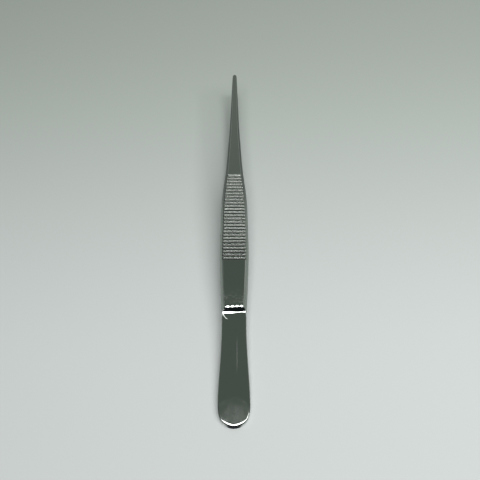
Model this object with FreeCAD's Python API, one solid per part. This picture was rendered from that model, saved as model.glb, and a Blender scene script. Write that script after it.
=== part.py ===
"""Thumb forceps, 160 mm long: two forged steel blades, welded face to face at the heel.

One blade is modelled outer side up, with Y along it from the heel end and the joint plane of the
two blades at Z = 0. The other blade is its mirror image. Both are then laid down as forceps rest
on a table: the lower blade's straight outer face lies flat on it, with the tips raised.
All lengths are in millimetres and all angles in degrees.
"""
import FreeCAD, Part
import math
import os

from FreeCAD import Vector

# Along the blade, from the heel end
LENGTH = 160.0
WELD_LENGTH = 14.0
STEP_FOOT = 41.05
LAND_END = 88.0
BELLY_LENGTH = 30.0

# Side view: the spring leaf, the thick land in front of it, and the curve towards the tip
LEAF_THICKNESS = 1.0
LEAF_BEND_LENGTH = 12.3
LEAF_ANGLE = 4.2
LAND_ANGLE = 3.9
INNER_TIP_ANGLE = -1.4
OUTER_TIP_ANGLE = -2.2
STEP_RADIUS = 2.9

# Top view: half widths of the outline
HEEL_END_RADIUS = 5.55
HEEL_ARC_ANGLE = 70.0
HEEL_HALF_WIDTH = 5.88
HEEL_WIDEST = 8.6
LEAF_HALF_WIDTH = 5.4
LEAF_MIDDLE = 20.5
WAIST_HALF_WIDTH = 4.72
WAIST = 38.0
FLARE_HALF_WIDTH = 5.36
FLARE = 53.0
GRIP_HALF_WIDTH = 5.78
GRIP_WIDEST = 70.0
GRIP_END_HALF_WIDTH = 5.56
GRIP_END = 81.0
SHOULDER_HALF_WIDTH = 5.12
SHOULDER = 91.3
NECK_HALF_WIDTH = 3.76
NECK = 103.2
THROAT_HALF_WIDTH = 2.82
THROAT = 115.9
NOSE_HALF_WIDTH = 1.97
NOSE_LENGTH = 29.0
TIP_HALF_WIDTH = 0.95

# The thick part's sides: a bevel beside the flat face, then a steeper flank down to the inner face
BEVEL_WIDTH = 0.6
BEVEL_DEPTH = 0.5
BEVEL_WIDTH_AT_TIP = 0.2
BEVEL_DEPTH_AT_TIP = 0.22
FLANK_WIDTH = 0.8
FLANK_DEPTH = 1.3
FLANK_WIDTH_AT_TIP = 0.15
FLANK_DEPTH_AT_TIP = 0.5
SIDE_RUNS = 24

# Rounding of the leaf's outer edges, at the sides and round the heel end
LEAF_EDGE_RADIUS = 0.5

# Cross grooves of the finger grip
GROOVE_COUNT = 27
GROOVE_PITCH = 1.441
GROOVE_WIDTH = 1.3
GROOVE_DEPTH = 0.3
FIRST_GROOVE = 63.4

# Fine teeth across the inner faces of the tips
TOOTH_COUNT = 14
TOOTH_PITCH = 1.0
TOOTH_DEPTH = 0.22
TOOTH_MARGIN = 1.2

# Room that a cutting solid has past the face that it cuts
SPARE = 3.0

# Where the straight taper of the nose starts, and where it meets the round tip
NOSE = LENGTH - NOSE_LENGTH
TIP_CORNER = Vector(TIP_HALF_WIDTH, LENGTH - TIP_HALF_WIDTH, 0)


class SideLine:
    """A line in side view that starts level at the heel and goes on in straight runs and bends."""

    def __init__(self, height, slope=0.0):
        self.place = (0.0, height)
        self.slope = slope
        self.pieces = []

    def straight(self, run):
        y, z = self.place
        end = (y + run, z + run * math.tan(self.slope))
        edge = Part.LineSegment(Vector(0, y, z), Vector(0, *end)).toShape()
        self.pieces.append((y, end[0], edge, lambda at, y=y, z=z, a=self.slope: z + (at - y) * math.tan(a)))
        self.place = end

    def bend(self, run, slope):
        """An arc, tangent to the last piece, that ends at the given slope after run along Y."""
        y, z = self.place
        start = self.slope
        radius = run / (math.sin(slope) - math.sin(start))

        def point(angle):
            return (y + radius * (math.sin(angle) - math.sin(start)),
                    z + radius * (math.cos(start) - math.cos(angle)))

        def height(at):
            return point(math.asin(math.sin(start) + (at - y) / radius))[1]

        middle = point((start + slope) / 2)
        end = point(slope)
        edge = Part.Arc(Vector(0, y, z), Vector(0, *middle), Vector(0, *end)).toShape()
        self.pieces.append((y, end[0], edge, height))
        self.place = end
        self.slope = slope

    def to(self, y):
        self.straight(y - self.place[0])

    def height(self, at):
        for start, end, edge, height in self.pieces:
            if at <= end:
                return height(at)
        return self.pieces[-1][3](at)

    def angle(self, at):
        step = 0.01
        return math.atan2(self.height(at + step) - self.height(at - step), 2 * step)

    def edges(self):
        return [piece[2] for piece in self.pieces]


def inner_line():
    line = SideLine(0.0)
    line.to(WELD_LENGTH)
    line.bend(LEAF_BEND_LENGTH, math.radians(LEAF_ANGLE))
    line.to(LAND_END)
    line.bend(BELLY_LENGTH, math.radians(INNER_TIP_ANGLE))
    line.to(LENGTH)
    return line


def land_height(y):
    """The land is in line with the heel's outer edge, so both touch a table at once."""
    return LEAF_THICKNESS + y * math.tan(math.radians(LAND_ANGLE))


def step_arcs(leaf, land, steepest):
    """The run and the rise of the step's two equal arcs, from the leaf's slope to the land's."""
    runs = [STEP_RADIUS * (math.sin(steepest) - math.sin(a)) for a in (leaf, land)]
    rises = [STEP_RADIUS * (math.cos(a) - math.cos(steepest)) for a in (leaf, land)]
    return runs, rises


def outer_line():
    leaf, land = math.radians(LEAF_ANGLE), math.radians(LAND_ANGLE)
    line = SideLine(LEAF_THICKNESS)
    line.to(WELD_LENGTH)
    line.bend(LEAF_BEND_LENGTH, leaf)
    line.to(STEP_FOOT)
    # The slope at which the two arcs meet is found by halving, so that they end on the land.
    y, z = line.place
    low, high = leaf, math.pi / 2
    for _ in range(50):
        steepest = (low + high) / 2
        runs, rises = step_arcs(leaf, land, steepest)
        if z + sum(rises) < land_height(y + sum(runs)):
            low = steepest
        else:
            high = steepest
    line.bend(runs[0], steepest)
    line.bend(runs[1], land)
    line.to(LAND_END)
    line.bend(BELLY_LENGTH, math.radians(OUTER_TIP_ANGLE))
    line.to(LENGTH)
    return line


def between(y, stations):
    """A size read between its stations, given as (y, size) pairs."""
    for (y0, s0), (y1, s1) in zip(stations, stations[1:]):
        if y <= y1:
            return s0 + (s1 - s0) * max(0.0, y - y0) / (y1 - y0)
    return stations[-1][1]


def outline_side():
    """The right side of the outline as a curve, from the heel's arc to the straight taper of the nose."""
    turn = math.radians(HEEL_ARC_ANGLE)
    start = Vector(HEEL_END_RADIUS * math.sin(turn), HEEL_END_RADIUS * (1 - math.cos(turn)), 0)
    points = [
        start,
        Vector(HEEL_HALF_WIDTH, HEEL_WIDEST, 0),
        Vector(LEAF_HALF_WIDTH, LEAF_MIDDLE, 0),
        Vector(WAIST_HALF_WIDTH, WAIST, 0),
        Vector(FLARE_HALF_WIDTH, FLARE, 0),
        Vector(GRIP_HALF_WIDTH, GRIP_WIDEST, 0),
        Vector(GRIP_END_HALF_WIDTH, GRIP_END, 0),
        Vector(SHOULDER_HALF_WIDTH, SHOULDER, 0),
        Vector(NECK_HALF_WIDTH, NECK, 0),
        Vector(THROAT_HALF_WIDTH, THROAT, 0),
        Vector(NOSE_HALF_WIDTH, NOSE, 0),
    ]
    curve = Part.BSplineCurve()
    curve.interpolate(
        Points=points,
        InitialTangent=Vector(math.cos(turn), math.sin(turn), 0),
        FinalTangent=TIP_CORNER - Vector(NOSE_HALF_WIDTH, NOSE, 0),
    )
    return curve


def half_width(side, y):
    """The outline's half width at y, found by halving the curve's span."""
    if y > NOSE:
        return between(y, [(NOSE, NOSE_HALF_WIDTH), (TIP_CORNER.y, TIP_HALF_WIDTH)])
    low, high = side.FirstParameter, side.LastParameter
    for _ in range(50):
        middle = (low + high) / 2
        if side.value(middle).y < y:
            low = middle
        else:
            high = middle
    return side.value(low).x


def outline_face(side):
    start = side.value(side.FirstParameter)
    end = side.value(side.LastParameter)
    right = [side.toShape(), Part.LineSegment(end, TIP_CORNER).toShape()]
    left = [edge.mirror(Vector(0, 0, 0), Vector(1, 0, 0)) for edge in right]
    tip = Part.Arc(TIP_CORNER, Vector(0, LENGTH, 0), Vector(-TIP_CORNER.x, TIP_CORNER.y, 0)).toShape()
    heel = Part.Arc(Vector(-start.x, start.y, 0), Vector(0, 0, 0), start).toShape()
    return Part.Face(Part.Wire(Part.__sortEdges__(right + [tip, heel] + left)))


def side_slab(inner, outer):
    """The side view as a slab wider than the blade."""
    heel = Part.LineSegment(Vector(0, 0, inner.height(0)), Vector(0, 0, outer.height(0))).toShape()
    tip = Part.LineSegment(Vector(0, *inner.place), Vector(0, *outer.place)).toShape()
    face = Part.Face(Part.Wire(Part.__sortEdges__(inner.edges() + [tip] + outer.edges() + [heel])))
    reach = HEEL_HALF_WIDTH + GRIP_HALF_WIDTH
    face.translate(Vector(-reach, 0, 0))
    return face.extrude(Vector(2 * reach, 0, 0))


def side_cutter(side, outer, hand):
    """The steel that the bevel and the flank take off one side of the thick part: hand is 1 or -1.

    It is ruled in straight runs, short enough to follow the outline.
    """
    fade_start = max(LAND_END, SHOULDER)

    def fading(size, tip_size):
        return [(fade_start, size), (LENGTH, tip_size)]

    sizes = (fading(BEVEL_WIDTH, BEVEL_WIDTH_AT_TIP), fading(BEVEL_DEPTH, BEVEL_DEPTH_AT_TIP),
             fading(FLANK_WIDTH, FLANK_WIDTH_AT_TIP), fading(FLANK_DEPTH, FLANK_DEPTH_AT_TIP))
    sections = []
    for number in range(SIDE_RUNS + 1):
        y = STEP_FOOT + (LENGTH - STEP_FOOT) * number / SIDE_RUNS
        x = half_width(side, y)
        z = land_height(y) if y < LAND_END else outer.height(y)
        bevel_width, bevel_depth, flank_width, flank_depth = (between(y, pairs) for pairs in sizes)
        # Both ends go on past the blade along their own facets.
        above, below = SPARE * bevel_depth / bevel_width, SPARE * flank_depth / flank_width
        corners = [
            (x - flank_width - bevel_width - SPARE, z + above),
            (x - flank_width, z - bevel_depth),
            (x + SPARE, z - bevel_depth - flank_depth - below),
            (x + 2 * SPARE, z + above),
        ]
        points = [Vector(hand * cx, y, cz) for cx, cz in corners]
        sections.append(Part.makePolygon(points + points[:1]))
    return Part.makeLoft(sections, True, True)


def groove_cutters(outer):
    """Round bars across the blade that leave the grip's grooves with sharp ridges between them."""
    half = GROOVE_WIDTH / 2
    radius = (half ** 2 + GROOVE_DEPTH ** 2) / (2 * GROOVE_DEPTH)
    reach = GRIP_HALF_WIDTH + SPARE
    bars = []
    for number in range(GROOVE_COUNT):
        y = FIRST_GROOVE + number * GROOVE_PITCH
        lean = outer.angle(y)
        lift = radius - GROOVE_DEPTH
        centre = Vector(-reach, y - lift * math.sin(lean), outer.height(y) + lift * math.cos(lean))
        bars.append(Part.makeCylinder(radius, 2 * reach, centre, Vector(1, 0, 0)))
    return bars


def tooth_cutters(inner):
    """Three-sided bars that cut the fine teeth across the inner face of the tip."""
    reach = NECK_HALF_WIDTH + SPARE
    bars = []
    for number in range(TOOTH_COUNT):
        y = LENGTH - TOOTH_MARGIN - number * TOOTH_PITCH
        z = inner.height(y)
        half = TOOTH_DEPTH
        spare = TOOTH_DEPTH / 2
        corners = [Vector(-reach, y, z + TOOTH_DEPTH),
                   Vector(-reach, y - half - spare, z - spare),
                   Vector(-reach, y + half + spare, z - spare)]
        face = Part.Face(Part.makePolygon(corners + corners[:1]))
        bars.append(face.extrude(Vector(2 * reach, 0, 0)))
    return bars


def round_leaf(leaf, outer):
    """Rounds the leaf's outer edges, along both sides and round the heel end."""
    edges = []
    for edge in leaf.Edges:
        middle = edge.valueAt((edge.FirstParameter + edge.LastParameter) / 2)
        on_top = abs(middle.z - outer.height(max(middle.y, 0))) < 0.001
        if on_top and abs(middle.x) > LEAF_EDGE_RADIUS:
            edges.append(edge)
    return leaf.makeFillet(LEAF_EDGE_RADIUS, edges)


def make_blade():
    inner, outer = inner_line(), outer_line()
    side = outline_side()
    plan = outline_face(side).extrude(Vector(0, 0, 2 * land_height(LENGTH)))
    blank = side_slab(inner, outer).common(plan)
    reach = HEEL_HALF_WIDTH + GRIP_HALF_WIDTH
    behind_step = Part.makeBox(2 * reach, STEP_FOOT + SPARE, LENGTH, Vector(-reach, -SPARE, -SPARE))
    leaf = round_leaf(blank.common(behind_step).Solids[0], outer)
    front = blank.cut(behind_step)
    for hand in (1, -1):
        front = front.cut(side_cutter(side, outer, hand))
    front = front.cut(groove_cutters(outer))
    front = front.cut(tooth_cutters(inner))
    return leaf.fuse(front).removeSplitter().Solids[0]


def lay_down(blade):
    """Turns the forceps so that the lower land is level, and centres their length on the origin."""
    blade.rotate(Vector(0, 0, 0), Vector(1, 0, 0), LAND_ANGLE)
    blade.translate(Vector(0, -LENGTH / 2, LEAF_THICKNESS * math.cos(math.radians(LAND_ANGLE))))
    return blade


def main():
    os.makedirs("parts", exist_ok=True)
    upper = make_blade()
    lower = upper.mirror(Vector(0, 0, 0), Vector(0, 0, 1))
    for name, blade in (("upper_blade", upper), ("lower_blade", lower)):
        lay_down(blade).exportStep("parts/" + name + ".step")


main()
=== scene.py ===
"""Thumb forceps on a pale cloth-covered table, under plain soft light.

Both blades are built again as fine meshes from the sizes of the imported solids: the spring leaf with
its rounded rim, the stepped land with bevels and flanks, the cross grooves and the inner teeth.
Lengths are in millimetres and angles in degrees until the blades are laid down in the row frame.
"""

import math

import bpy
import numpy as np
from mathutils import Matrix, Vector


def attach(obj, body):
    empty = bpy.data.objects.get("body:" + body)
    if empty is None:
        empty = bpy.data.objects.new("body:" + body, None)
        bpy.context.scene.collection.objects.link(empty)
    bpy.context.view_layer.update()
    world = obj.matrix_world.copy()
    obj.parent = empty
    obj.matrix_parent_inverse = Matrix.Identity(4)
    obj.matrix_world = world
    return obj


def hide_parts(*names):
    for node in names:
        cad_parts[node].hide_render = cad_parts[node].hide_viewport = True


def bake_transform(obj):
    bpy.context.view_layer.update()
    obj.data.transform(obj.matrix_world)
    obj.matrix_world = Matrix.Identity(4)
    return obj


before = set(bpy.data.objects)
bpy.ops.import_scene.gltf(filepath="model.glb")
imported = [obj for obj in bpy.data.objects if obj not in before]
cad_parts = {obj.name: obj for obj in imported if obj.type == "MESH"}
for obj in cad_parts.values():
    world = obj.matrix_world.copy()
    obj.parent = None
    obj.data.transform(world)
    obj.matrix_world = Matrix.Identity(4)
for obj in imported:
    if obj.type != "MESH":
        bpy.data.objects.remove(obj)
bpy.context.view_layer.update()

MM = 0.001

# Along the blade, from the heel end
LENGTH = 160.0
WELD_LENGTH = 14.0
STEP_FOOT = 41.05
LAND_END = 88.0
BELLY_LENGTH = 30.0

# Side view
LEAF_THICKNESS = 1.0
LEAF_BEND_LENGTH = 12.3
LEAF_ANGLE = 4.2
LAND_ANGLE = 3.9
INNER_TIP_ANGLE = -1.4
OUTER_TIP_ANGLE = -2.2
STEP_RADIUS = 2.9

# Top view: the heel's arc, the stations of the right side as (half width, place), and the nose
HEEL_END_RADIUS = 5.55
HEEL_ARC_ANGLE = 70.0
NOSE = 131.0
NOSE_HALF_WIDTH = 1.97
TIP_RADIUS = 0.95
SIDE_STATIONS = [
    (5.88, 8.6), (5.4, 20.5), (4.72, 38.0), (5.36, 53.0), (5.78, 70.0), (5.56, 81.0),
    (5.12, 91.3), (3.76, 103.2), (2.82, 115.9), (NOSE_HALF_WIDTH, NOSE),
]

# The land's bevel and flank, each as (width, depth), at the shoulder and at the tip
BEVEL, BEVEL_AT_TIP = (0.6, 0.5), (0.2, 0.22)
FLANK, FLANK_AT_TIP = (0.8, 1.3), (0.15, 0.5)
SHOULDER = 91.3
FLAT_ROOM = 0.3

# The upper rim of the heel end and of the leaf, as (inset, drop) points above the foot of the side,
# and how far each corner's rounding reaches
HEEL_RIM = [(1.9, 0.0), (1.06, 0.0), (0.58, 0.28), (0.0, 0.85)]
LEAF_RIM = [(0.8, 0.0), (0.38, 0.0), (0.05, 0.2), (0.0, 0.32)]
HEEL_CUTS = (0.42, 0.13)
LEAF_CUTS = (0.09, 0.05)
LAND_CUTS = (0.07, 0.16)
FOOT_CUT = 0.08

# Scallops that grinding by hand leaves in the crest of the step
SCALLOP_TURN = 3.55
SCALLOP_START = 3.91

# A curved line of painted highlight on the leaf where it meets the step, as part of a circle
GLINT_CENTRE = (-0.9, 42.5, 0.0)
GLINT_RADIUS = 3.5

# Cross grooves outside the grip, and fine teeth inside the tip
GROOVE_COUNT = 27
GROOVE_PITCH = 1.441
GROOVE_DEPTH = 0.3
GROOVE_BOTTOM_RADIUS = 0.34
FIRST_GROOVE = 63.4
WALL_TURN = math.radians(48.0)
TOOTH_COUNT = 14
TOOTH_PITCH = 1.0
TOOTH_DEPTH = 0.22
TOOTH_MARGIN = 1.2

# Spacing of the mesh along the blade, and in degrees around its two ends; then the places of its
# stations on one side of a groove's middle and of a tooth's middle
LEAF_SPACING = 0.7
STEP_SPACING = 0.1
LAND_SPACING = 0.6
HEEL_SPACING = 2.2
TIP_SPACING = 5.5
GROOVE_STATIONS = (0.0, 0.085, 0.17, 0.253, 0.375, 0.42, 0.465, 0.6)
TOOTH_STATIONS = (0.0, 0.1, 0.2, 0.24, 0.4)

# Places across the flat face as shares of its half width, closer together towards its edges
FLAT_COLUMNS = 14
FLAT_TURN = math.radians(80)
FLAT_EDGE = math.sin(math.radians(81))
FLAT_SHARES = [
    math.sin(FLAT_TURN * k / FLAT_COLUMNS) / FLAT_EDGE for k in range(-FLAT_COLUMNS, FLAT_COLUMNS + 1)
]

# What each point of a blade's mesh carries for the material
MARKS = ("groove", "inside", "facet", "end_shade")

# Base colours of the steel, where the edge, end face and groove colours are painted shade and the glint
# colour is a painted highlight
POLISHED = (0.585, 0.62, 0.59, 1)
SATIN = (0.65, 0.68, 0.64, 1)
STAINED = (0.42, 0.4, 0.33, 1)
# Painted shade that darkens the land's bevels and flanks, from the step to the neck
EDGE_SHADE_AT_STEP = (0.2, 0.225, 0.2, 1)
EDGE_SHADE_AT_NECK = (0.08, 0.088, 0.08, 1)
# Painted shade on the heel's end face, near black
END_FACE_SHADE = (0.02, 0.02, 0.03, 1)
# Near white, for the painted highlight by the step
GLINT_COLOUR = (0.96, 0.98, 0.95, 1)
# Painted shade in the grooves, from deepest to palest
GROOVE_SHADE_DEEP = (0.08, 0.084, 0.078, 1)
GROOVE_SHADE_PALE = (0.27, 0.283, 0.265, 1)

# Colours of the cloth from the front to the back, a little darker at the front and with painted shade
# towards the back, of the backdrop, and of the studio around the table
CLOTH_FRONT = (0.65, 0.68, 0.68, 1)
CLOTH = (0.69, 0.725, 0.72, 1)
CLOTH_BACK_SHADE = (0.56, 0.61, 0.57, 1)
BACKDROP = (0.6, 0.64, 0.63, 1)
CEILING = (0.1, 0.118, 0.105, 1)
CEILING_BACK = (0.138, 0.158, 0.142, 1)
WALLS = (0.17, 0.19, 0.175, 1)
RIGHT_WALL = (0.56, 0.585, 0.56, 1)
DARK_SIDES = (0.06, 0.07, 0.064, 1)
DARK_FRONT = (0.008, 0.01, 0.012, 1)


def smooth(value, low, high):
    """0 before low, 1 after high, and a smooth rise between them."""
    f = min(1.0, max(0.0, (value - low) / (high - low)))
    return f * f * (3 - 2 * f)


def mix(a, b, f):
    return a + (b - a) * f


def wave(x, seed):
    """A calm, irregular wave between about -1 and 1, the same on each run."""
    return (0.55 * math.sin(1.9 * x + 2.4 * seed) + 0.3 * math.sin(3.7 * x + 5.1 * seed)
            + 0.15 * math.sin(7.3 * x + 8.7 * seed))


class SideLine:
    """A line in side view that starts level at the heel and goes on in straight runs and bends."""

    def __init__(self, height):
        self.place = (0.0, height)
        self.slope = 0.0
        self.pieces = []

    def to(self, end):
        y, z = self.place
        slope = math.tan(self.slope)
        self.pieces.append((end, lambda at: z + (at - y) * slope))
        self.place = (end, z + (end - y) * slope)

    def bend(self, run, slope):
        y, z = self.place
        start = self.slope
        radius = run / (math.sin(slope) - math.sin(start))

        def height(at):
            angle = math.asin(math.sin(start) + (at - y) / radius)
            return z + radius * (math.cos(start) - math.cos(angle))

        self.pieces.append((y + run, height))
        self.place = (y + run, height(y + run))
        self.slope = slope

    def height(self, at):
        for end, height in self.pieces:
            if at <= end:
                return height(at)
        return self.pieces[-1][1](at)


def land_height(y):
    return LEAF_THICKNESS + y * math.tan(math.radians(LAND_ANGLE))


def inner_line():
    line = SideLine(0.0)
    line.to(WELD_LENGTH)
    line.bend(LEAF_BEND_LENGTH, math.radians(LEAF_ANGLE))
    line.to(LAND_END)
    line.bend(BELLY_LENGTH, math.radians(INNER_TIP_ANGLE))
    line.to(LENGTH)
    return line


def outer_line():
    """The step is two equal arcs; the slope where they meet is found by halving."""
    leaf, land = math.radians(LEAF_ANGLE), math.radians(LAND_ANGLE)
    line = SideLine(LEAF_THICKNESS)
    line.to(WELD_LENGTH)
    line.bend(LEAF_BEND_LENGTH, leaf)
    line.to(STEP_FOOT)
    y, z = line.place
    low, high = leaf, math.pi / 2
    for _ in range(50):
        steepest = (low + high) / 2
        runs = [STEP_RADIUS * (math.sin(steepest) - math.sin(a)) for a in (leaf, land)]
        rise = sum(STEP_RADIUS * (math.cos(a) - math.cos(steepest)) for a in (leaf, land))
        if z + rise < land_height(y + sum(runs)):
            low = steepest
        else:
            high = steepest
    line.bend(runs[0], steepest)
    line.bend(runs[1], land)
    line.to(LAND_END)
    line.bend(BELLY_LENGTH, math.radians(OUTER_TIP_ANGLE))
    line.to(LENGTH)
    return line


class Side:
    """The right side of the outline in front of the heel's arc: a smooth curve, then the nose's taper."""

    def __init__(self):
        turn = math.radians(HEEL_ARC_ANGLE)
        self.start = HEEL_END_RADIUS * (1 - math.cos(turn))
        points = np.array([(HEEL_END_RADIUS * math.sin(turn), self.start)] + SIDE_STATIONS)
        taper = np.array([TIP_RADIUS, LENGTH - TIP_RADIUS]) - points[-1]
        span = np.hypot(*np.diff(points, axis=0).T)
        count = len(points)
        matrix = np.eye(count)
        right = np.zeros((count, 2))
        right[0] = (math.cos(turn), math.sin(turn))
        right[-1] = taper / np.hypot(*taper)
        for i in range(1, count - 1):
            before, after = span[i - 1], span[i]
            matrix[i, i - 1:i + 2] = (after, 2 * (before + after), before)
            right[i] = 3 * (after * (points[i] - points[i - 1]) / before
                            + before * (points[i + 1] - points[i]) / after)
        slopes = np.linalg.solve(matrix, right)
        f = np.linspace(0, 1, 200)[:, None]
        runs = []
        for i in range(count - 1):
            p, q = points[i], points[i + 1]
            m, n = slopes[i] * span[i], slopes[i + 1] * span[i]
            runs.append(p * (2 * f**3 - 3 * f**2 + 1) + m * (f**3 - 2 * f**2 + f)
                        + q * (3 * f**2 - 2 * f**3) + n * (f**3 - f**2))
        runs.append(np.array([[TIP_RADIUS, LENGTH - TIP_RADIUS]]))
        curve = np.concatenate(runs)
        self.x, self.y = curve[:, 0], curve[:, 1]
        self.end = LENGTH - TIP_RADIUS

    def half_width(self, y):
        return float(np.interp(y, self.y, self.x))

    def rim(self, y):
        """A point of the rim as (x, y, normal x, normal y)."""
        low, high = max(self.start, y - 0.05), min(self.end, y + 0.05)
        lean = (self.half_width(high) - self.half_width(low)) / (high - low)
        size = math.hypot(1, lean)
        return (self.half_width(y), y, 1 / size, -lean / size)


def spread(start, end, step):
    """Places from start up to just before end, about step apart."""
    count = max(1, round((end - start) / step))
    return [start + (end - start) * i / count for i in range(count)]


def both_sides(stations):
    """Places counted from a middle, on both sides of it."""
    return [-place for place in reversed(stations[1:])] + list(stations)


def land_rim(y):
    """The land's rim at y as bevel width, bevel depth, flank width and flank depth."""
    fade = max(0.0, (y - SHOULDER) / (LENGTH - SHOULDER))
    return [mix(a, b, fade) for a, b in zip(BEVEL + FLANK, BEVEL_AT_TIP + FLANK_AT_TIP)]


def flat_inset(y):
    """How far the outer flat face of the land lies in from the rim, with the room for its rounding."""
    bevel_w, _, flank_w, _ = land_rim(y)
    return bevel_w + flank_w + FLAT_ROOM


def rim_stations(side):
    """The right half of the rim from the heel end to the tip, close together where the form is fine."""
    rim = []
    for degree in spread(0.6, HEEL_ARC_ANGLE, HEEL_SPACING):
        turn = math.radians(degree)
        nx, ny = math.sin(turn), -math.cos(turn)
        rim.append((HEEL_END_RADIUS * nx, HEEL_END_RADIUS * (1 + ny), nx, ny))
    step_start, step_end = STEP_FOOT - 1.6, STEP_FOOT + 5.3
    places = spread(side.start, step_start, LEAF_SPACING) + spread(step_start, step_end, STEP_SPACING)
    groove_start = FIRST_GROOVE - GROOVE_PITCH / 2
    places += spread(step_end, groove_start, LAND_SPACING)
    # The stations beside a groove make up for the rim's lean, so that their points on the flat face,
    # which lie in from the rim along its normal, fall on the groove's own edges and walls.
    for number in range(GROOVE_COUNT):
        for offset in both_sides(GROOVE_STATIONS):
            place = FIRST_GROOVE + number * GROOVE_PITCH + offset
            places.append(place + side.rim(place)[3] * flat_inset(place))
    groove_end = FIRST_GROOVE + (GROOVE_COUNT - 0.5) * GROOVE_PITCH
    teeth_start = LENGTH - TOOTH_MARGIN - (TOOTH_COUNT - 0.5) * TOOTH_PITCH
    places += spread(groove_end, teeth_start, LAND_SPACING)
    for number in reversed(range(TOOTH_COUNT)):
        centre = LENGTH - TOOTH_MARGIN - number * TOOTH_PITCH
        places += [centre + offset for offset in both_sides(TOOTH_STATIONS)]
    places = [y for y in places if y < LENGTH - TIP_RADIUS - 0.05]
    rim += [side.rim(y) for y in places]
    for degree in spread(2.5, 89.4, TIP_SPACING):
        turn = math.radians(degree)
        nx, ny = math.cos(turn), math.sin(turn)
        rim.append((TIP_RADIUS * nx, LENGTH - TIP_RADIUS * (1 - ny), nx, ny))
    return rim


def rounded(corners, cuts, steps=4):
    """A path whose inner corners are rounded, each starting and ending its cut away from the corner."""
    path = [corners[0]]
    for before, corner, after, cut in zip(corners, corners[1:], corners[2:], cuts):
        ends = []
        for other in (before, after):
            arm = other - corner
            size = max(float(np.hypot(*arm)), 1e-6)
            ends.append(corner + arm * (min(cut, size / 2) / size))
        for k in range(steps + 1):
            f = k / steps
            path.append(ends[0] * (1 - f)**2 + corner * (2 * f * (1 - f)) + ends[1] * f**2)
    path.append(corners[-1])
    return path


def shoulder(y, outer, inner):
    """The section's upper rim at y as (inset, drop) points, from the flat face down to the side."""
    top, bottom = outer.height(y), inner.height(y)
    bevel_w, bevel_d, flank_w, flank_d = land_rim(y)
    edge = mix(0.04, 0.1, smooth(y, 10, 30))
    foot = (0.0, top - bottom - edge)

    # On the step the flat face lies lower than the land, so it meets the bevel or the flank there.
    lower = max(0.0, land_height(y) - top) if y < LAND_END else 0.0
    if lower < bevel_d:
        corner = (flank_w + bevel_w * (1 - lower / bevel_d), 0.0)
        middle = (flank_w, bevel_d - lower)
    else:
        left = max(0.0, 1 - (lower - bevel_d) / flank_d)
        corner = (flank_w * left, 0.0)
        middle = (flank_w * left * 0.8, flank_d * left * 0.2)
    land = [(corner[0] + FLAT_ROOM, 0.0), corner, middle, (0.0, bevel_d + flank_d - lower), foot]

    at_heel = 1 - smooth(y, 0.0, 3.4)
    on_land = smooth(y, STEP_FOOT - 1.2, STEP_FOOT + 0.4)
    leaf, heel = (np.array(points + [foot]) for points in (LEAF_RIM, HEEL_RIM))
    corners = mix(mix(leaf, heel, at_heel), np.array(land), on_land)
    cuts = [mix(mix(a, b, at_heel), c, on_land) for a, b, c in zip(LEAF_CUTS, HEEL_CUTS, LAND_CUTS)]
    return rounded(list(corners), cuts + [FOOT_CUT]), edge


def groove(y):
    """Depth of the cross grooves at y: round bottoms, straight walls and flat ridges between them."""
    number = round((y - FIRST_GROOVE) / GROOVE_PITCH)
    if not 0 <= number < GROOVE_COUNT:
        return 0.0
    offset = abs(y - FIRST_GROOVE - number * GROOVE_PITCH)
    wall_start = GROOVE_BOTTOM_RADIUS * math.sin(WALL_TURN)
    if offset < wall_start:
        return GROOVE_DEPTH - GROOVE_BOTTOM_RADIUS + math.sqrt(GROOVE_BOTTOM_RADIUS**2 - offset**2)
    bottom = GROOVE_BOTTOM_RADIUS * (1 - math.cos(WALL_TURN))
    return max(0.0, GROOVE_DEPTH - bottom - (offset - wall_start) * math.tan(WALL_TURN))


def tooth(y):
    """Depth of the fine teeth at y inside the tip: three-sided notches."""
    number = round((LENGTH - TOOTH_MARGIN - y) / TOOTH_PITCH)
    if not 0 <= number < TOOTH_COUNT:
        return 0.0
    return max(0.0, TOOTH_DEPTH - abs(y - LENGTH + TOOTH_MARGIN + number * TOOTH_PITCH))


def step_drift(x, y):
    """How far grinding by hand leaves the step out of straight, along the blade."""
    ahead = y - STEP_FOOT
    # The crest drifts by low where its rounding starts, and by high, with the scallops, where it ends
    scallops = math.sin(SCALLOP_TURN * x + SCALLOP_START)
    low = 0.16 + 0.04 * x + 0.05 * wave(1.7 * x, 2) - 0.08 * scallops
    high = 0.03 * x - 0.1 + 0.36 * scallops + 0.06 * wave(2.2 * x, 1)
    rise = min(1.0, max(0.0, (ahead - 2.2) / 1.1))
    crest = smooth(ahead, 1.4, 2.2) * (1 - smooth(ahead, 3.4, 5.2)) * mix(low, high, rise)
    # The foot leans forward to the right of the middle, and all of the rise stands a little forward
    lean = smooth(x, -1.5, 1.9) * (1 - 0.5 * smooth(x, 2.6, 4.2))
    start = smooth(ahead, -1.4, -0.1)
    foot = start * min(1.0, max(0.0, (1.3 - ahead) / 1.2))
    turned_up = start * (1 - smooth(ahead, 1.2, 2.4)) * (0.2 + 0.25 * smooth(x, 1.5, 4.3))
    return crest + 0.6 * foot * lean + turned_up


def groove_drift(x, y):
    """How far a groove is cut out of straight, most of all in the rows next to the step."""
    at_grip = smooth(y, 61.2, 63.2) * (1 - smooth(y, 101.0, 102.5))
    number = round((y - FIRST_GROOVE) / GROOVE_PITCH)
    return at_grip * mix(0.075, 0.03, smooth(y, 64, 76)) * wave(1.6 * x, number)


def groove_wear(x, y):
    """The share of a groove's depth that is left at x."""
    number = round((y - FIRST_GROOVE) / GROOVE_PITCH)
    return 0.97 - mix(0.06, 0.03, smooth(y, 64, 76)) * (1 + wave(2.3 * x, number + 3))


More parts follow.
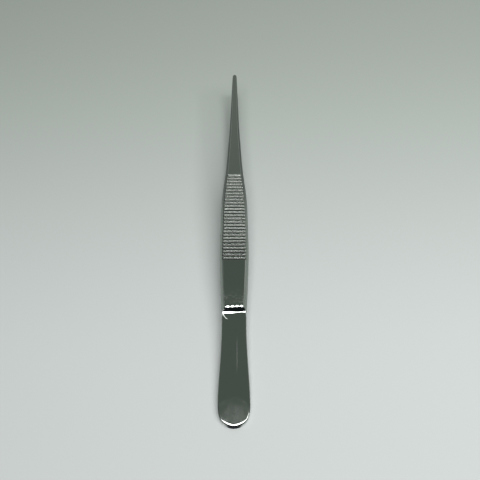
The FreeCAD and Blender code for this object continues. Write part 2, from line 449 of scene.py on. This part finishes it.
def polish(x, y):
    """Very shallow waves that polishing by hand leaves in the flat faces and the heel's rim."""
    calm = 0.003 * (math.sin(0.71 * y + 0.4 * x) + 0.6 * math.sin(1.13 * y - 0.5 * x + 2.0) - 1.6)
    at_rim = smooth(y, 0.3, 1.2) * (1 - smooth(y - 0.08 * x * x, 1.2, 2.4))
    return calm + 0.01 * at_rim * (wave(1.7 * x, 6) - 1)


def blade_rings(hand):
    """Closed rings of points across a blade, each as (x, y, z) in the forceps' own frame and its marks.

    The hand is 1 for the upper blade and -1 for the lower one, its mirror image.
    """
    inner, outer, side = inner_line(), outer_line(), Side()
    rings = []
    for x, y, nx, ny in rim_stations(side):
        profile, edge = shoulder(y, outer, inner)
        at_end = (1 - smooth(abs(x), 1.8, 3.6)) * (1 - smooth(y, 3, 4))

        def top_point(px, py, drop):
            cut = groove(py) * groove_wear(px, py) if drop < 2 * GROOVE_DEPTH else 0.0
            place = py + groove_drift(px, py)
            depth = max(drop, cut)
            facet = smooth(drop, 0.0, 0.15) * smooth(y, STEP_FOOT, STEP_FOOT + 1)
            height = outer.height(place) - depth + polish(px, place)
            shift = step_drift(px, py)
            height += shift * math.tan(math.radians(LAND_ANGLE))
            # This mark paints shade on the heel's end face
            end_shade = smooth(drop, 0.2, 0.4) * at_end
            return (px, place + shift, height, (depth - drop) / GROOVE_DEPTH, 0.0, facet, end_shade)

        right = []
        for inset, drop in profile:
            right.append((x - nx * inset, y - ny * inset, drop))
        reach, level = right[0][0], right[0][1]
        top = [top_point(share * reach, level, 0.0) for share in FLAT_SHARES]
        right_side = [top_point(*point) for point in right]
        left_side = [top_point(-px, py, drop) for px, py, drop in reversed(right)]

        low = []
        for inset, rise in ((0.0, edge), (0.3 * edge, 0.3 * edge), (edge, 0.0), (1.6 * edge, 0.0)):
            px, py = x - nx * inset, y - ny * inset
            low.append((px, py, inner.height(py) + max(rise, tooth(py)), 0.0, 1.0, 0.0, at_end))
        reach, level = low[-1][0], low[-1][1]
        floor = inner.height(level) + tooth(level)
        under = [(-share * reach, level, floor, 0.0, 1.0, 0.0, 0.0) for share in FLAT_SHARES[1:-1]]
        low_left = [(-point[0], *point[1:]) for point in reversed(low)]
        ring = top + right_side[1:] + low[1:] + under + low_left[:-1] + left_side[:-1]
        rings.append([(px, py, hand * pz, *marks) for px, py, pz, *marks in ring])
    return rings


def laid_down(x, y, z):
    """A point of the forceps' own frame in the row frame, in metres."""
    lean = math.radians(LAND_ANGLE)
    return Vector((
        x,
        y * math.cos(lean) - z * math.sin(lean) - LENGTH / 2,
        y * math.sin(lean) + z * math.cos(lean) + LEAF_THICKNESS * math.cos(lean),
    )) * MM


def make_blade(name, hand):
    rings = blade_rings(hand)
    count = len(rings[0])
    vertices = [point for ring in rings for point in ring]
    faces = []
    for row in range(len(rings) - 1):
        start, after = row * count, (row + 1) * count
        for i in range(count):
            j = (i + 1) % count
            faces.append((start + i, start + j, after + j, after + i))
    # The rings at both ends are nearly closed slits, which strips of faces across the blade close.
    for start, turned in ((0, True), ((len(rings) - 1) * count, False)):
        middle = len(FLAT_SHARES) // 2
        left = [start + (middle - i) % count for i in range(count // 2)]
        right = [start + (middle + i) % count for i in range(count // 2)]
        for i in range(count // 2 - 1):
            quad = [right[i], right[i + 1], left[i + 1], left[i]]
            quad = list(dict.fromkeys(quad))
            faces.append(tuple(reversed(quad)) if turned else tuple(quad))
    if hand > 0:
        faces = [tuple(reversed(face)) for face in faces]
    mesh = bpy.data.meshes.new(name)
    mesh.from_pydata([laid_down(*point[:3]) for point in vertices], [], faces)
    mesh.update()
    own = mesh.attributes.new("blade_mm", "FLOAT_VECTOR", "POINT")
    own.data.foreach_set("vector", np.array([point[:3] for point in vertices], np.float32).ravel())
    for column, attribute in enumerate(MARKS, 3):
        layer = mesh.attributes.new(attribute, "FLOAT", "POINT")
        layer.data.foreach_set("value", np.array([point[column] for point in vertices], np.float32))
    mesh.polygons.foreach_set("use_smooth", [True] * len(mesh.polygons))
    blade = bpy.data.objects.new(name, mesh)
    bpy.context.scene.collection.objects.link(blade)
    return blade


class Nodes:
    """A short way to build a material's nodes."""

    def __init__(self, tree):
        self.tree = tree

    def add(self, kind, inputs=(), **settings):
        node = self.tree.nodes.new(kind)
        for key, value in settings.items():
            setattr(node, key, value)
        for key, value in dict(inputs).items():
            self.put(node, key, value)
        return node

    def put(self, node, key, value):
        socket = node.inputs[key]
        if isinstance(value, bpy.types.NodeSocket):
            self.tree.links.new(value, socket)
        else:
            socket.default_value = value

    def math(self, operation, a, b=0.0, c=0.0):
        return self.add("ShaderNodeMath", {0: a, 1: b, 2: c}, operation=operation).outputs[0]

    def product(self, first, *others):
        for other in others:
            first = self.math("MULTIPLY", first, other)
        return first

    def mark(self, name):
        return self.add("ShaderNodeAttribute", attribute_name=name).outputs["Fac"]

    def remap(self, value, low, high, to_low=0.0, to_high=1.0):
        node = self.add("ShaderNodeMapRange", {
            "Value": value, "From Min": low, "From Max": high, "To Min": to_low, "To Max": to_high,
        }, interpolation_type="SMOOTHSTEP")
        return node.outputs["Result"]

    def noise(self, vector, scale, detail=2.0, stretch=(1, 1, 1)):
        scaled = self.add("ShaderNodeVectorMath", {0: vector, 1: stretch}, operation="MULTIPLY")
        node = self.add("ShaderNodeTexNoise", {
            "Vector": scaled.outputs[0], "Scale": scale, "Detail": detail,
        })
        return node.outputs["Fac"]

    def seen(self, in_metal=1.0):
        """1 for what the camera sees, in_metal for reflections, and 0 for the light on the object."""
        path = self.add("ShaderNodeLightPath").outputs
        mirrored = self.math("MAXIMUM", path["Is Glossy Ray"], path["Is Transmission Ray"])
        return self.math("MAXIMUM", path["Is Camera Ray"], self.math("MULTIPLY", mirrored, in_metal))

    def blend(self, share, a, b):
        node = self.add("ShaderNodeMix", data_type="RGBA")
        self.put(node, 0, share)
        self.put(node, 6, a)
        self.put(node, 7, b)
        return node.outputs[2]


def steel():
    """Polished heel and leaf, satin nose, painted shade on the edges, the grooves and the heel's end face,
    a painted highlight on a curved line by the step, and wear that dulls the polish.
    """
    material = bpy.data.materials.new("blade_steel")
    material.use_nodes = True
    nodes = Nodes(material.node_tree)
    shader = material.node_tree.nodes["Principled BSDF"]
    place = nodes.add("ShaderNodeAttribute", attribute_name="blade_mm").outputs["Vector"]
    depth, inside, facet, end_shade = (nodes.mark(name) for name in MARKS)
    axes = nodes.add("ShaderNodeSeparateXYZ", {0: place}).outputs
    across, along = axes["X"], axes["Y"]

    # A cloudy heel, whose front edge is bowed
    reach = nodes.math("MULTIPLY_ADD", nodes.math("MULTIPLY", across, across), 0.09, along)
    heel = nodes.product(
        nodes.remap(along, 1.0, 2.2),
        nodes.remap(reach, 10.2, 11.4, 1.0, 0.0),
        nodes.remap(nodes.noise(place, 0.22, 3.0), 0.36, 0.6, 0.4, 1.0),
    )

    # A scratch along the leaf
    off_scratch = nodes.math("ABSOLUTE", nodes.math("SUBTRACT", across, 1.1))
    scratch = nodes.product(
        nodes.remap(off_scratch, 0.05, 0.35, 1.0, 0.0),
        nodes.remap(along, 18, 22),
        nodes.remap(along, 30, 34, 1.0, 0.0),
    )

    # Scuffs on the land beside the step
    scuffs = nodes.product(
        nodes.remap(nodes.noise(place, 0.9, 3.0, (1, 2.2, 1)), 0.45, 0.7, 0.35, 1.0),
        nodes.remap(along, 44, 46),
        nodes.remap(along, 47, 54, 1.0, 0.0),
    )

    # A painted highlight along a curved line, widest where it meets the step, which is also made rougher
    flat_place = nodes.add("ShaderNodeCombineXYZ", {"X": across, "Y": along}).outputs[0]
    centre = nodes.add("ShaderNodeVectorMath", {0: flat_place, 1: GLINT_CENTRE}, operation="DISTANCE")
    off_glint = nodes.math("ABSOLUTE", nodes.math("SUBTRACT", centre.outputs["Value"], GLINT_RADIUS))
    off_glint = nodes.math("MULTIPLY", off_glint, nodes.remap(along, 40.2, 41.4, 1.0, 0.5))
    glint = nodes.product(
        nodes.remap(off_glint, 0.04, 0.26, 1.0, 0.0),
        nodes.remap(across, -2.9, -2.2, 1.0, 0.0),
        nodes.remap(along, 42.2, 42.8, 1.0, 0.0),
        nodes.math("GREATER_THAN", axes["Z"], 0.5),
    )

    long_lines = nodes.noise(place, 1.0, 3.0, (9.0, 0.25, 9.0))
    cloud = nodes.noise(place, 0.35, 3.0, (1, 0.6, 1))
    rough = nodes.remap(along, 60, 150, 0.035, 0.2)
    for share, amount in ((long_lines, 0.02), (cloud, 0.03), (depth, -0.02), (facet, 0.22), (inside, 0.16),
                          (heel, 0.085), (scratch, 0.09), (scuffs, 0.17), (glint, 0.4)):
        rough = nodes.math("MULTIPLY_ADD", share, amount, rough)
    nodes.put(shader, "Roughness", rough)

    tint = nodes.blend(nodes.remap(along, 60, 150), POLISHED, SATIN)
    spots = nodes.remap(nodes.noise(place, 0.9, 4.0), 0.62, 0.8)
    tint = nodes.blend(nodes.math("MULTIPLY", spots, 0.3), tint, STAINED)
    # Painted shade: the bevels and flanks are darkened, more so towards the neck
    edge_shade = nodes.math("MULTIPLY", facet, nodes.remap(along, 76, 106, 0.75, 0.9))
    tint = nodes.blend(edge_shade, tint, nodes.blend(nodes.remap(along, 70, 106), EDGE_SHADE_AT_STEP, EDGE_SHADE_AT_NECK))
    # Painted shade: the heel's end face is made near black
    tint = nodes.blend(end_shade, tint, END_FACE_SHADE)
    # Painted highlight on the curved line by the step
    tint = nodes.blend(glint, tint, GLINT_COLOUR)
    # Painted shade in the grooves: patchy across, and deepest in the rows nearest the step
    patchy = nodes.product(
        nodes.remap(nodes.noise(place, 1.0, 2.0, (0.8, 1.6, 0.8)), 0.35, 0.65, 0.65, 1.0),
        nodes.remap(along, 64, 76, 0.2, 0.85),
    )
    groove_shade = nodes.blend(patchy, GROOVE_SHADE_DEEP, GROOVE_SHADE_PALE)
    tint = nodes.blend(nodes.remap(depth, 0.0, 0.1), tint, groove_shade)
    nodes.put(shader, "Base Color", tint)
    shader.inputs["Metallic"].default_value = 1.0

    grain = nodes.noise(place, 9.0, 2.0)
    height = nodes.math("MULTIPLY_ADD", long_lines, 0.6, nodes.math("MULTIPLY", grain, 0.4))
    bump = nodes.add("ShaderNodeBump", {"Strength": 0.12, "Distance": 0.00001, "Height": height})
    nodes.put(shader, "Normal", bump.outputs["Normal"])
    return material


def floor_material():
    """Pale matt cloth, a little darker at the front and with painted shade towards the back, which turns
    into the even backdrop far from the object.
    """
    material = bpy.data.materials.new("pale_cloth")
    material.use_nodes = True
    nodes = Nodes(material.node_tree)
    shader = material.node_tree.nodes["Principled BSDF"]
    place = nodes.add("ShaderNodeTexCoord").outputs["Object"]
    y = nodes.add("ShaderNodeSeparateXYZ", {0: place}).outputs["Y"]
    front = nodes.blend(nodes.remap(y, -0.12, -0.04), CLOTH_FRONT, CLOTH)
    # Painted shade: the cloth darkens towards the back, where the light falls off
    nodes.put(shader, "Base Color", nodes.blend(nodes.remap(y, -0.05, 0.13), front, CLOTH_BACK_SHADE))
    distance = nodes.add("ShaderNodeVectorMath", {0: place}, operation="LENGTH").outputs["Value"]
    glow = nodes.add("ShaderNodeEmission", {"Color": BACKDROP})
    out = material.node_tree.nodes["Material Output"]
    surface = nodes.add("ShaderNodeMixShader", {
        0: nodes.math("MULTIPLY", nodes.remap(distance, 0.25, 0.6), nodes.seen()),
        1: shader.outputs[0], 2: glow.outputs[0],
    })
    nodes.put(out, "Surface", surface.outputs[0])
    shader.inputs["Roughness"].default_value = 0.95
    shader.inputs["Specular IOR Level"].default_value = 0.2
    return material


def make_floor():
    size = 3.0
    corners = [(-size, -size, 0), (size, -size, 0), (size, size, 0), (-size, size, 0)]
    mesh = bpy.data.meshes.new("table_top")
    mesh.from_pydata([Vector(c) for c in corners], [], [(0, 1, 2, 3)])
    floor = bpy.data.objects.new("table_top", mesh)
    bpy.context.scene.collection.objects.link(floor)
    floor.data.materials.append(floor_material())
    return floor


def soft_box(name, centre, size_x, size_y, radiance, colour, turn=(0, 0, 0)):
    """A soft box of even radiance, level and facing down unless it is turned."""
    lamp = bpy.data.lights.new(name, "AREA")
    lamp.shape = "RECTANGLE"
    lamp.size, lamp.size_y = size_x, size_y
    lamp.energy = radiance * math.pi * size_x * size_y
    lamp.color = colour
    light = bpy.data.objects.new(name, lamp)
    light.location = centre
    light.rotation_euler = [math.radians(a) for a in turn]
    bpy.context.scene.collection.objects.link(light)
    return light


def make_world():
    """The studio around the table, as colours by direction.

    It has a dim ceiling, paler walls, a bright wall on the right, dark sides, a dark front behind the
    camera, and the backdrop near the horizon.
    """
    world = bpy.data.worlds.new("studio")
    bpy.context.scene.world = world
    world.use_nodes = True
    nodes = Nodes(world.node_tree)
    background = world.node_tree.nodes["Background"]
    direction = nodes.add("ShaderNodeTexCoord").outputs["Generated"]
    axes = nodes.add("ShaderNodeSeparateXYZ", {0: direction})
    x, y, z = (axes.outputs[name] for name in "XYZ")
    colour = nodes.blend(nodes.remap(y, 0.2, 0.45), CEILING, CEILING_BACK)
    wall = nodes.product(nodes.remap(z, 0.3, 0.9, 1.0, 0.0), nodes.remap(y, 0.1, 0.24, 0.1, 1.0))
    colour = nodes.blend(wall, colour, WALLS)
    right = nodes.product(nodes.remap(x, 0.8, 0.95), wall)
    colour = nodes.blend(right, colour, RIGHT_WALL)
    aside = nodes.remap(nodes.math("ABSOLUTE", x), 0.72, 0.85)
    aside = nodes.product(aside, nodes.remap(y, 0.06, 0.16, 1.0, 0.0))
    colour = nodes.blend(aside, colour, DARK_SIDES)
    behind = nodes.product(nodes.remap(y, -0.55, -0.3, 1.0, 0.0), nodes.remap(z, 0.6, 0.85, 1.0, 0.0))
    colour = nodes.blend(behind, colour, DARK_FRONT)
    backdrop = nodes.seen(in_metal=nodes.remap(z, 0.1, 0.2, 1.0, 0.0))
    nodes.put(background, "Color", nodes.blend(backdrop, colour, BACKDROP))
    background.inputs["Strength"].default_value = 1.0


def make_camera():
    """The photograph's view, from over the heel, with the camera placed in millimetres."""
    camera = bpy.data.cameras.new("camera")
    camera.sensor_width = 36.0
    camera.lens = 39.23
    camera.clip_start = 0.01
    view = bpy.data.objects.new("camera", camera)
    turn = math.radians(-0.155)
    side, back, up = 2.36, -116.0, 193.3
    x = side * math.cos(turn) - back * math.sin(turn)
    y = side * math.sin(turn) + back * math.cos(turn)
    view.location = Vector((x, y, up)) * MM
    view.rotation_euler = (math.radians(30.46), 0, turn)
    bpy.context.scene.collection.objects.link(view)
    bpy.context.scene.camera = view


make_camera()
make_floor()
make_world()
soft_box("key_light", (0.22, -0.27, 0.6), 0.88, 0.31, 6.15, (1.0, 1.0, 0.99), (0, 0, 3))

steel_material = steel()
upper = make_blade("upper_blade_polished", 1)
lower = make_blade("lower_blade_polished", -1)
for blade, node in ((upper, "upper_blade"), (lower, "lower_blade")):
    blade.data.materials.append(steel_material)
    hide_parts(node)
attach(lower, "lower")
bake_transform(upper)

bpy.context.scene.view_settings.view_transform = "Standard"
